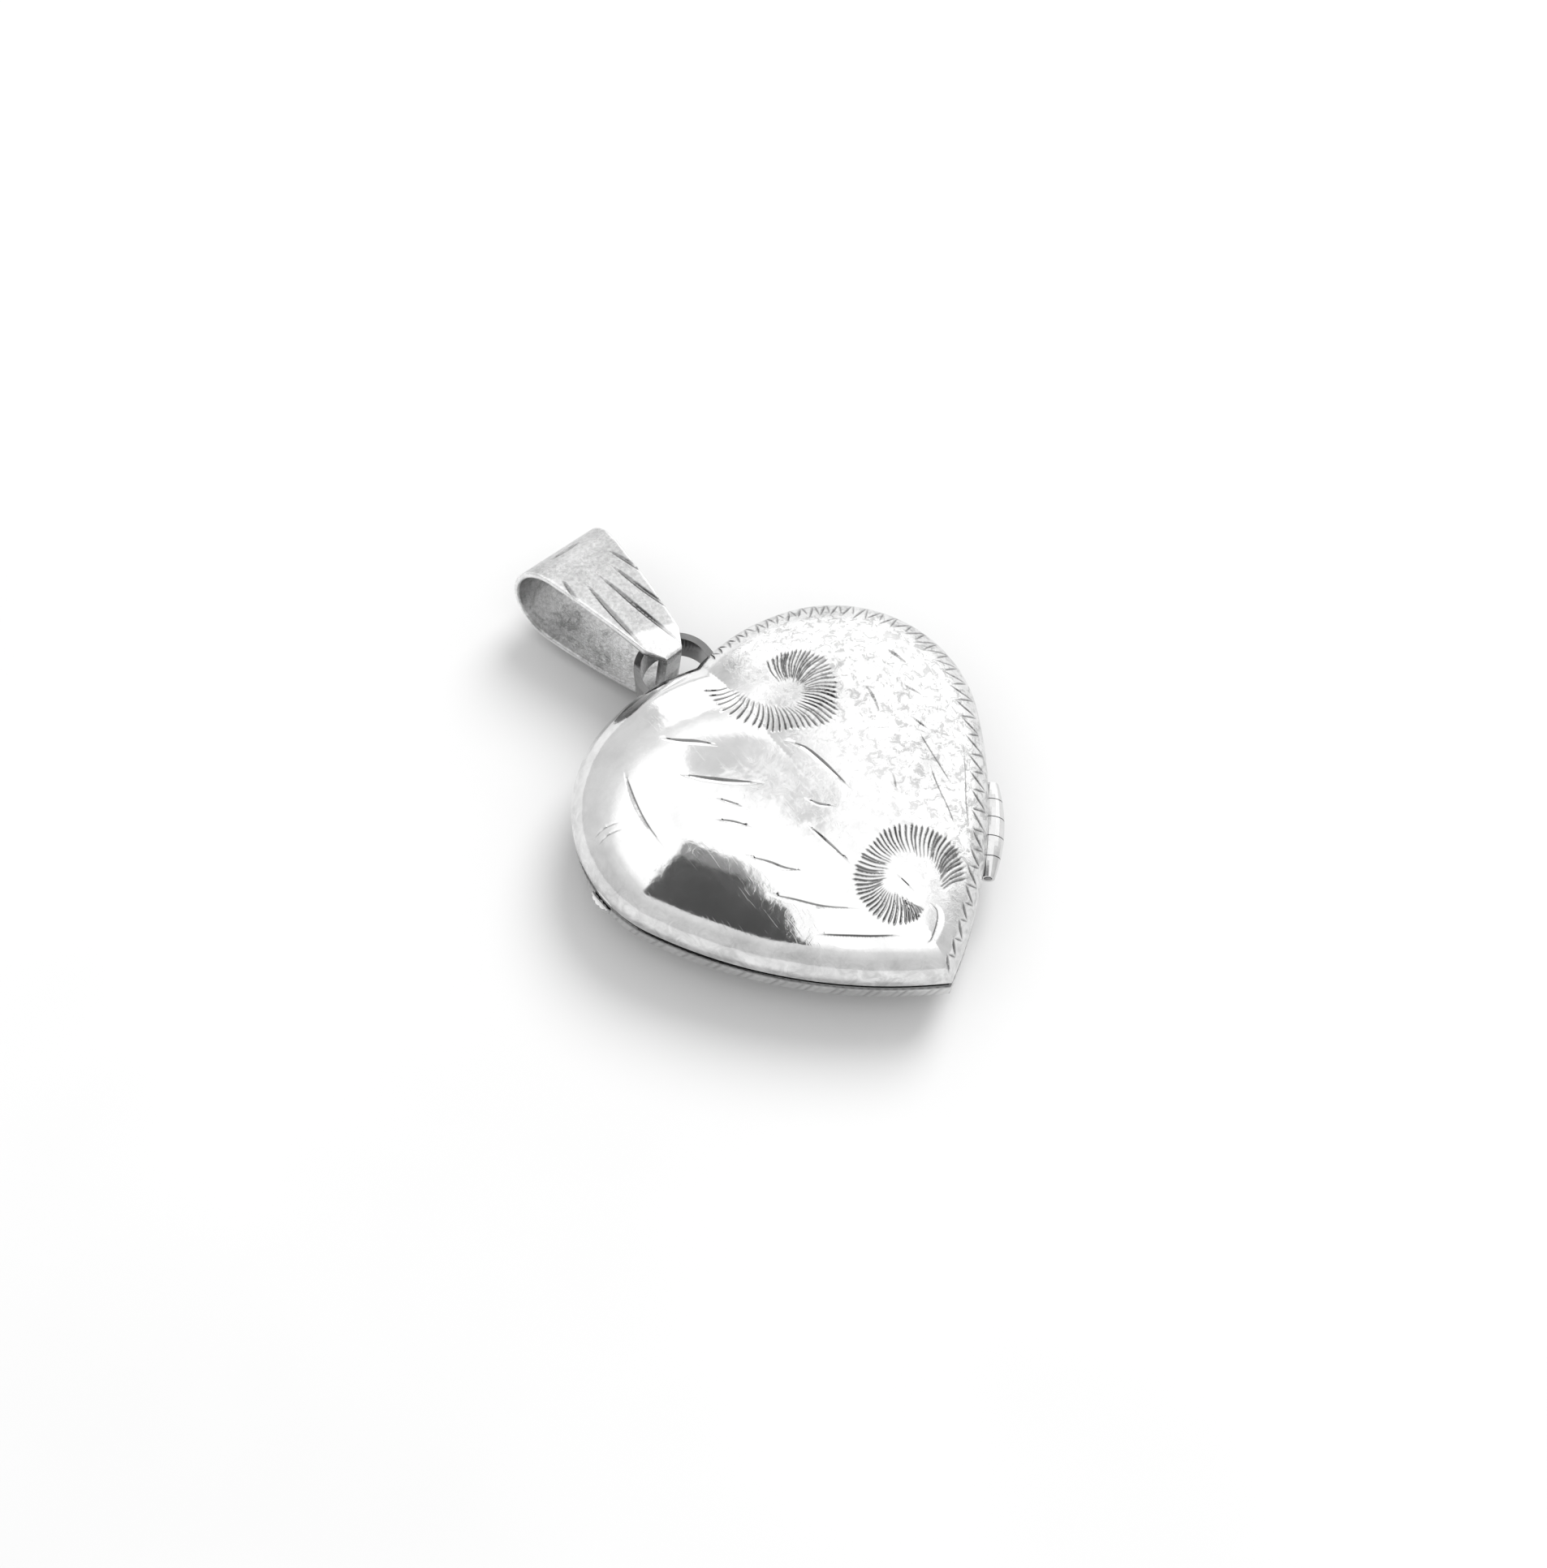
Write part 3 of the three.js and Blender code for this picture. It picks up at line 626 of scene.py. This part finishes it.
def silver(name, tone, rough, spread, frost, scratches, mottle, dents=0.0, cuts=False, satin_side=False,
           strap=False):
    """Silver. tone is its grey, rough its roughness and spread how much that varies; frost, scratches and
    dents are the heights of its satin grain, its hairlines and its slow unevenness in micrometres; mottle,
    from 0 to 1, is how dark its cloudy patches are. cuts is for an engraved piece, darkened with painted
    shade where its mesh marks shade; satin_side for one that is satin towards +x only, with painted shade
    in blotches on its lower flank; strap for the bail: speckled, dull inside with darker blotches, and
    with a painted highlight on its edges and tip."""
    n = Nodes(name)
    xyz = n.add("TexCoord").outputs["Object"]
    cloud = n.noise(xyz, 420.0, 5.0, 0.6)
    grain = n.noise(xyz, 9000.0, 4.0, 0.65)
    roughness = n.remap(cloud, 0.3, 0.7, rough - spread, rough + spread)
    shade = n.remap(cloud, 0.32, 0.6, tone * (1 - 0.3 * mottle), tone)
    height = n.times(grain, frost)
    if strap:
        speckle = n.noise(xyz, 5200.0, 3.0, 0.7)
        shade = n.times(shade, n.remap(speckle, 0.35, 0.65, 0.8, 1.12))
    if satin_side:
        place = n.add("SeparateXYZ", {"Vector": xyz}).outputs
        # Painted shade on the lower flank, darker towards the rim in blotches.
        level = n.plus(place["Z"], n.times(n.noise(xyz, 700.0, 4.0, 0.65, 0.5), 0.0016))
        flank = n.remap(level, FLANK_FROM, FLANK_TO, 1.0, 0.0)
        blotch = n.remap(n.noise(xyz, 1300.0, 4.0, 0.7, 1.0), 0.4, 0.62, 0.36, 0.06)
        shade = n.times(shade, n.rest(n.times(flank, blotch)))
        across = n.plus(place["X"], n.times(n.noise(xyz, 300.0), 0.002))
        side = n.times(n.remap(across, SATIN_FROM, SATIN_TO, 0.0, 1.0), n.rest(n.mark("hidden")))
        roughness = n.plus(roughness, n.times(side, 0.1))
        flecks = n.remap(n.noise(xyz, 2300.0, 4.0, 0.75, 0.8), 0.5, 0.6, 0.0, 1.0)
        shade = n.times(shade, n.rest(n.times(n.times(flecks, side), 0.36)))
        height = n.times(n.plus(n.times(flecks, 1.2), grain), n.plus(n.times(side, frost), frost * 0.05))
    if cuts:
        keep = n.rest(n.times(n.mark("cut"), 0.85))
        roughness = n.maths("MAXIMUM", n.times(roughness, keep), 0.07)
        height = n.times(height, keep)
        # Painted shade marked on the mesh: cut walls, milled strokes and the seam.
        shade = n.times(shade, n.rest(n.times(n.mark("shade"), 0.8)))
    if strap:
        # Painted highlight: the bail's edges and tip are made lighter in colour.
        shade = n.plus(shade, n.times(n.mark("edge_highlight"), 0.3))
        dull = n.mark("inside")
        # Darker blotches on the bail's inner faces only: partly scuffs, partly painted shade of the inside
        # of the fold.
        scuffs_and_shade = n.remap(n.noise(xyz, 1100.0, 5.0, 0.7, 1.2), 0.5, 0.62, 1.05, 0.7)
        shade = n.times(shade, n.rest(n.times(dull, n.rest(scuffs_and_shade))))
        roughness = n.plus(roughness, n.times(dull, 0.1))
    normal = n.bump(n.noise(xyz, 900.0, 2.0, 0.5), MICRON * dents) if dents else None
    normal = n.bump(height, MICRON, normal)
    streaks = n.add("Mapping", {"Vector": xyz, "Rotation": (0, 0, 0.7), "Scale": (1400, 90, 400)})
    lines = n.noise(streaks.outputs["Vector"], 6.0, 2.0, 0.6, 0.2)
    normal = n.bump(n.remap(lines, 0.62, 0.66, 0.0, 1.0), MICRON * scratches, normal)
    n.set(n.shader.inputs["Metallic"], 1.0)
    n.set(n.shader.inputs["Base Color"], n.add("CombineColor", {0: shade, 1: shade, 2: shade}).outputs[0])
    n.set(n.shader.inputs["Roughness"], roughness)
    n.set(n.shader.inputs["Normal"], normal)
    return n.material


dome_silver = silver("engraved_front_silver", 0.9, 0.08, 0.03, 6.0, 0.4, 0.6, 11.0, cuts=True,
                     satin_side=True)
back_silver = silver("engraved_back_silver", 0.7, 0.12, 0.04, 1.0, 0.8, 0.6, 12.0, cuts=True)
bail_silver = silver("bail_satin_silver", 0.63, 0.28, 0.06, 18.0, 0.5, 0.8, cuts=True, strap=True)
loop_silver = silver("loop_dark_silver", 0.3, 0.12, 0.05, 2.0, 0.6, 0.8, 8.0)
hinge_silver = silver("hinge_silver", 0.74, 0.14, 0.05, 1.5, 0.8, 0.6, 6.0)
inner_silver = silver("inner_rim_silver", 0.8, 0.22, 0.06, 2.0, 0.8, 0.6)

# ------------------------------------------------------------------ shells

FINE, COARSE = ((0.05, 0.13))  # mesh spacing in the cuts and between them
front = dome_shell(FRONT, front_cuts, (240, 272, 48), (120, 136, 24), FINE, COARSE)
make("front_dome", front, "cover", "front_shell", dome_silver)
back = dome_shell(BACK, back_cuts, (180, 200, 32), (180, 200, 32), FINE * 1.15, COARSE * 1.2)
make("back_dome", back, "back_half", "back_shell", back_silver)

# ------------------------------------------------------------------ bail

BAIL_AT = np.array([-0.62, 9.5, 2.65])
BAIL_TURN = np.array(
    Matrix.Rotation(math.radians(7.5), 3, "Z") @ Matrix.Rotation(math.radians(10), 3, "Y"))
BAIL_LENGTH, FOLD_R, END_HALF = 8.6, 2.2, 1.5  # u of the fold, and half its height and the joined end's
BAIL_SHEET, END_WALL = 0.3, 0.36  # thickness of the strip, and of its joined end
FOLD_U = BAIL_LENGTH - FOLD_R
SHOULDER_U, WIDEST_U = 0.95, 9.1
END_WIDTH, SHOULDER_WIDTH, WIDEST = 0.48, 1.12, 2.48  # half widths at the joined end, shoulder and fold
FLAT = 0.965  # share of the width that is flat, between rounded edges


def bezier(t, a, b, c):
    return (1 - t) ** 2 * a + 2 * t * (1 - t) * b + t**2 * c


def bail_half_width(u):
    """Half the strip's width at u, which runs from the joined end to the fold."""
    t = np.linspace(0, 1, 200)
    curve = (bezier(t, SHOULDER_U, BAIL_LENGTH * 0.6, WIDEST_U),
             bezier(t, SHOULDER_WIDTH, WIDEST * 0.78, WIDEST))
    low = END_WIDTH + (SHOULDER_WIDTH - END_WIDTH) * np.clip(u, 0, SHOULDER_U) / SHOULDER_U
    return np.where(u < SHOULDER_U, low, np.interp(u, *curve))


def bail_path(thickness, leaf, fold, end):
    """(u, v) round the strip, thickness inside its outer face: back leaf, fold, front leaf, joined end. The
    other arguments are point counts."""
    r, start, h = FOLD_R - thickness, END_WALL if thickness else 0.0, END_HALF - thickness
    t = np.linspace(0, 1, leaf, endpoint=False)
    a = np.linspace(-math.pi / 2, math.pi / 2, fold, endpoint=False)
    e = np.linspace(0, 1, end, endpoint=False)
    u = np.concatenate([bezier(t, start, FOLD_U * 0.45, FOLD_U), FOLD_U + r * np.cos(a),
                        bezier(1 - t, start, FOLD_U * 0.45, FOLD_U), np.full(end, start)])
    v = np.concatenate([bezier(t, -h, -r, -r), r * np.sin(a), bezier(1 - t, h, r, r), h - 2 * h * e])
    if not thickness:  # soften the two corners of the joined end
        for _ in range(6):
            near = u < 0.4
            su = (np.roll(u, 1) + np.roll(u, -1)) / 2
            sv = (np.roll(v, 1) + np.roll(v, -1)) / 2
            u, v = np.where(near, su, u), np.where(near, sv, v)
    return u, v


bail_cuts = Cuts()
for points, width, depth in (
    ([(-1.55, 6.3), (-1.78, 5.2), (-2.16, 3.6)], 0.12, 0.08),
    ([(-0.84, 5.5), (-1.0, 3.28), (-1.02, 0.6)], 0.14, 0.09),
    ([(-0.03, 5.6), (0.23, 2.75), (0.68, -0.1)], 0.14, 0.09),
    ([(0.82, 5.6), (1.14, 3.34), (1.66, 1.1)], 0.14, 0.09),
    ([(1.32, 6.3), (1.7, 4.85), (2.08, 3.0)], 0.13, 0.09),
    ([(-1.0, 7.75), (0.0, 7.78), (0.9, 7.75)], 0.14, 0.09),
):
    bail_cuts.add(points, width, depth, -0.25, dark=0.6)


def bail_mesh():
    """(vertices, faces, marks) of the folded strip, as dome_shell gives them."""
    leaf, fold, end, across = 120, 110, 26, 72
    uo, vo = bail_path(0, leaf, fold, end)
    ui, vi = bail_path(BAIL_SHEET, leaf, fold, end)
    n = len(uo)
    # One cross-section: (share of the half width, share of the thickness) at each point.
    rounding = [(-1.0, 0.5), (-1.0, 0.2), (-0.985, 0.06), (-FLAT, 0.0)]
    flat = np.linspace(-FLAT, FLAT, across)[1:-1]
    lane = rounding + [(f, 0.0) for f in flat] + [(-a, b) for a, b in rounding[::-1]]
    inner_flat = np.linspace(FLAT, -FLAT, 30)[1:-1]
    lane += [(1.0, 0.8), (0.985, 0.94), (FLAT, 1.0)] + [(f, 1.0) for f in inner_flat]
    lane += [(-FLAT, 1.0), (-0.985, 0.94), (-1.0, 0.8)]
    m = len(lane)
    verts = np.zeros((n, m, 3))
    for k, (side, deep) in enumerate(lane):
        u, v = uo + (ui - uo) * deep, vo + (vi - vo) * deep
        verts[:, k] = np.stack([side * bail_half_width(u), u, v], 1)
    top = len(rounding) - 1
    span = slice(top, top + across)
    outer = verts[:, span].copy()
    du, dv = np.roll(uo, -1) - np.roll(uo, 1), np.roll(vo, -1) - np.roll(vo, 1)
    normal = np.stack([np.zeros(n), -dv, du], 1)
    normal /= -np.linalg.norm(normal, axis=1)[:, None]
    # Front leaf and bend share one plan: the distance round the bend carries on past FOLD_U.
    along = np.where(uo > FOLD_U, FOLD_U + FOLD_R * np.arctan2(uo - FOLD_U, np.maximum(vo, 1e-6)), uo)
    depth = np.zeros((n, across))
    cover, shade = np.zeros((n, across)), np.zeros((n, across))
    front = vo > 0
    flat_xy = np.stack([outer[..., 0], np.repeat(along[:, None], across, 1)], -1)
    found = bail_cuts.field(flat_xy[front].reshape(-1, 2))
    depth[front], cover[front], shade[front] = (part.reshape(-1, across) for part in found)
    verts[:, span] += normal[:, None] * -depth[..., None]
    marks = {key: np.zeros((n, m)) for key in ("cut", "shade", "inside", "edge_highlight")}
    marks["cut"][:, span], marks["shade"][:, span] = cover, shade
    faces = []
    for i in range(n):
        for k in range(m):
            j, up = (i + 1) % n, (k + 1) % m
            faces.append([i * m + k, i * m + up, j * m + up, j * m + k])
    edge = top + across + 2
    marks["inside"][:, edge:] = 1
    # Painted highlight: the front leaf's tip and the strip's rounded edges are made lighter in colour.
    tip = np.clip((1.7 - 0.35 * outer[..., 0] - along[:, None]) / 0.25, 0, 1) * front[:, None]
    side = bail_half_width(uo)[:, None] - np.abs(outer[..., 0])
    marks["edge_highlight"][:, span] = np.maximum(tip, np.clip((0.16 - side) / 0.08, 0, 1))
    marks["edge_highlight"][:, :top] = marks["edge_highlight"][:, edge - 2:edge] = 1
    marks = {key: values.ravel() for key, values in marks.items()}
    return verts.reshape(-1, 3) @ BAIL_TURN.T + BAIL_AT, faces, marks


make("bail_strip", bail_mesh(), "bail", "bail", bail_silver)

# ------------------------------------------------------------------ carried-over nodes

BEVEL_ANGLE = math.radians(35)


def finish_node(name, material, bevel):
    """Gives a carried-over CAD node its material and, where bevel is not 0, soft edges that wide in mm."""
    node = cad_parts[name]
    node.data.materials.clear()
    node.data.materials.append(material)
    node.data.shade_smooth()
    node.data.set_sharp_from_angle(angle=BEVEL_ANGLE)
    if bevel:
        mod = node.modifiers.new("soft_edges", "BEVEL")
        mod.width, mod.segments, mod.limit_method = bevel * MM, 3, "ANGLE"
        mod.angle_limit = BEVEL_ANGLE
        mod.harden_normals = False


for name, material, bevel in (
    ("bail_loop", loop_silver, 0.05),
    ("thumb_catch", hinge_silver, 0.03),
    ("hinge_pin", loop_silver, 0.0),
    ("back_knuckle_lower", hinge_silver, 0.02), ("back_knuckle_middle", hinge_silver, 0.02),
    ("back_knuckle_upper", hinge_silver, 0.02), ("front_knuckle_lower", hinge_silver, 0.02),
    ("front_knuckle_upper", hinge_silver, 0.02),
    ("back_bezel", inner_silver, 0.04), ("front_bezel", inner_silver, 0.04),
    ("back_picture_frame", inner_silver, 0.06), ("front_picture_frame", inner_silver, 0.06),
):
    finish_node(name, material, bevel)

# ------------------------------------------------------------------ stage, light and camera

scene = bpy.context.scene
scene.view_settings.view_transform = "Standard"
scene.view_settings.look = "None"


FLOOR_R, FLOOR_Z = 1.6, -0.00002
angles = np.linspace(0, 2 * math.pi, 96, endpoint=False)
floor_mesh = bpy.data.meshes.new("floor")
floor_edge = [(FLOOR_R * math.cos(t), FLOOR_R * math.sin(t), FLOOR_Z) for t in angles]
floor_mesh.from_pydata(floor_edge, [], [list(range(len(floor_edge)))])
paper = Nodes("white_paper")
paper_cloud = paper.noise(paper.add("TexCoord").outputs["Object"], 40.0, 3.0)
paper_ramp = paper.add("ValToRGB", {"Fac": paper_cloud})
set_stops(paper_ramp, [(0.3, 0.62), (0.7, 0.64)])
paper.set(paper.shader.inputs["Base Color"], paper_ramp.outputs["Color"])
paper.set(paper.shader.inputs["Roughness"], 0.9)
paper.set(paper.shader.inputs["Specular IOR Level"], 0.1)
floor_mesh.materials.append(paper.material)
floor = bpy.data.objects.new("floor", floor_mesh)
scene.collection.objects.link(floor)


def card(name, corners, grey, glow=0.0):
    """A flat card, corners in metres, that only reflections see."""
    mesh = bpy.data.meshes.new(name)
    mesh.from_pydata(corners, [], [list(range(len(corners)))])
    n = Nodes(name)
    n.set(n.shader.inputs["Base Color"], (grey, grey, grey, 1))
    n.set(n.shader.inputs["Emission Color"], (1, 1, 1, 1))
    n.set(n.shader.inputs["Emission Strength"], glow)
    n.set(n.shader.inputs["Specular IOR Level"], 0.0)
    mesh.materials.append(n.material)
    obj = bpy.data.objects.new(name, mesh)
    scene.collection.objects.link(obj)
    obj.visible_camera = obj.visible_diffuse = obj.visible_shadow = False


world = bpy.data.worlds.new("studio")
scene.world = world
world.use_nodes = True
tree = world.node_tree
coords = tree.nodes.new("ShaderNodeTexCoord")
split = tree.nodes.new("ShaderNodeSeparateXYZ")
ramp = tree.nodes.new("ShaderNodeValToRGB")
tree.links.new(coords.outputs["Generated"], split.inputs[0])
tree.links.new(split.outputs["Z"], ramp.inputs["Fac"])
set_stops(ramp, [(0.0, 0.72), (0.4, 0.7), (0.6, 0.85), (0.7, 1.28), (1.0, 1.3)])  # from below to overhead
background = tree.nodes["Background"]
tree.links.new(ramp.outputs["Color"], background.inputs["Color"])
background.inputs["Strength"].default_value = 1.0


card("dark_card", [
    (-0.09, 0.041, 0.291), (-0.079, 0.029, 0.295), (-0.065, -0.004, 0.3), (-0.084, -0.024, 0.294),
    (-0.097, -0.05, 0.287), (-0.181, -0.157, 0.195), (-0.205, -0.136, 0.187), (-0.218, -0.102, 0.193),
    (-0.233, -0.068, 0.192), (-0.257, 0.0, 0.173), (-0.138, 0.032, 0.274)], grey=0.09)
card("dim_card", [
    (-0.051, 0.056, 0.297), (-0.037, 0.033, 0.302), (-0.065, -0.004, 0.3), (-0.079, 0.029, 0.295),
    (-0.09, 0.041, 0.291)], grey=0.3)
card("pale_card_upper", [
    (0.065, 0.202, 0.221), (0.094, 0.172, 0.235), (0.109, 0.138, 0.25), (0.082, 0.113, 0.272),
    (0.074, 0.117, 0.272), (0.04, 0.153, 0.262)], grey=0.85)
card("pale_card_side", [
    (0.105, 0.127, 0.258), (0.089, 0.106, 0.272), (0.082, 0.097, 0.277), (0.035, 0.058, 0.298),
    (0.065, 0.097, 0.282)], grey=0.85)
WALL_R, WALL_HEIGHTS = 0.45, (0.03, 0.3)
for turn, span in enumerate(((-25, 30), (30, 78))):  # degrees round the locket
    low, high = ([(WALL_R * math.cos(math.radians(a)), WALL_R * math.sin(math.radians(a)), z) for a in span]
                 for z in WALL_HEIGHTS)
    card(f"white_wall_{turn}", [*low, *high[::-1]], grey=0.8, glow=0.5)

key_light = bpy.data.lights.new("key", "AREA")
key_light.shape, key_light.size, key_light.energy = "DISK", 0.32, 2.3
key = bpy.data.objects.new("key", key_light)
key.location = (0.32, 0.12, 0.42)
key.rotation_euler = (-Vector(key.location)).to_track_quat("-Z", "Y").to_euler()
key.visible_glossy = False  # the silver shows the white round it, not the lamp
scene.collection.objects.link(key)

camera_data = bpy.data.cameras.new("camera")
camera = bpy.data.objects.new("camera", camera_data)
scene.collection.objects.link(camera)
scene.camera = camera
# Viewpoint fitted to the photo.
AZ, EL = math.radians(-36.48), math.radians(62.5)
CAMERA_AT = Vector((-29.806, -38.010, 98.040)) * MM
toward = Vector((math.sin(AZ) * math.cos(EL), -math.cos(AZ) * math.cos(EL), math.sin(EL)))
right = Vector((math.cos(AZ), math.sin(AZ), 0))
up = toward.cross(right)
camera.matrix_world = Matrix.Translation(CAMERA_AT) @ Matrix(
    [[right[i], up[i], toward[i]] for i in range(3)]).to_4x4()
camera_data.lens, camera_data.sensor_width = 53.64, 36.0
camera_data.clip_start, camera_data.clip_end = 0.005, 10.0

bpy.context.view_layer.update()
